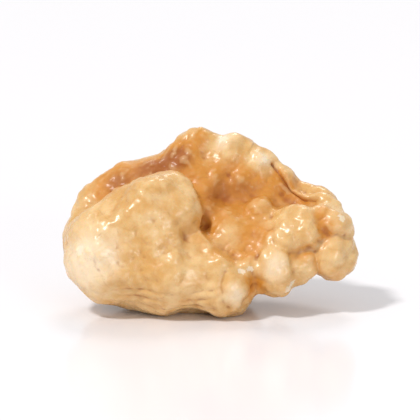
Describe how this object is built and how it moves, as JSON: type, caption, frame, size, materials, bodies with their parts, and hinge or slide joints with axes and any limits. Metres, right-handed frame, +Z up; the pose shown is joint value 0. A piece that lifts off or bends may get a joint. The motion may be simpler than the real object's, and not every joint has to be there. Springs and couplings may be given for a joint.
{
  "type": "walnut kernel half",
  "caption": "Half of a walnut kernel cracked out of its shell, lobed inside and deeply wrinkled outside, lying loose on a surface.",
  "frame": {"origin": "on the surface that it lies on, under the middle of its bounding box", "axes": "+X along the kernel's length, +Z up, with the open inner side leaning back and facing up and towards -Y"},
  "size_m": [0.0278, 0.0152, 0.0169],
  "materials": {
    "kernel_skin": "thin golden-brown skin, darker in the creases, with a slight oily sheen"
  },
  "bodies": {
    "root": {"walnut_kernel": "kernel_skin"}
  },
  "joints": []
}
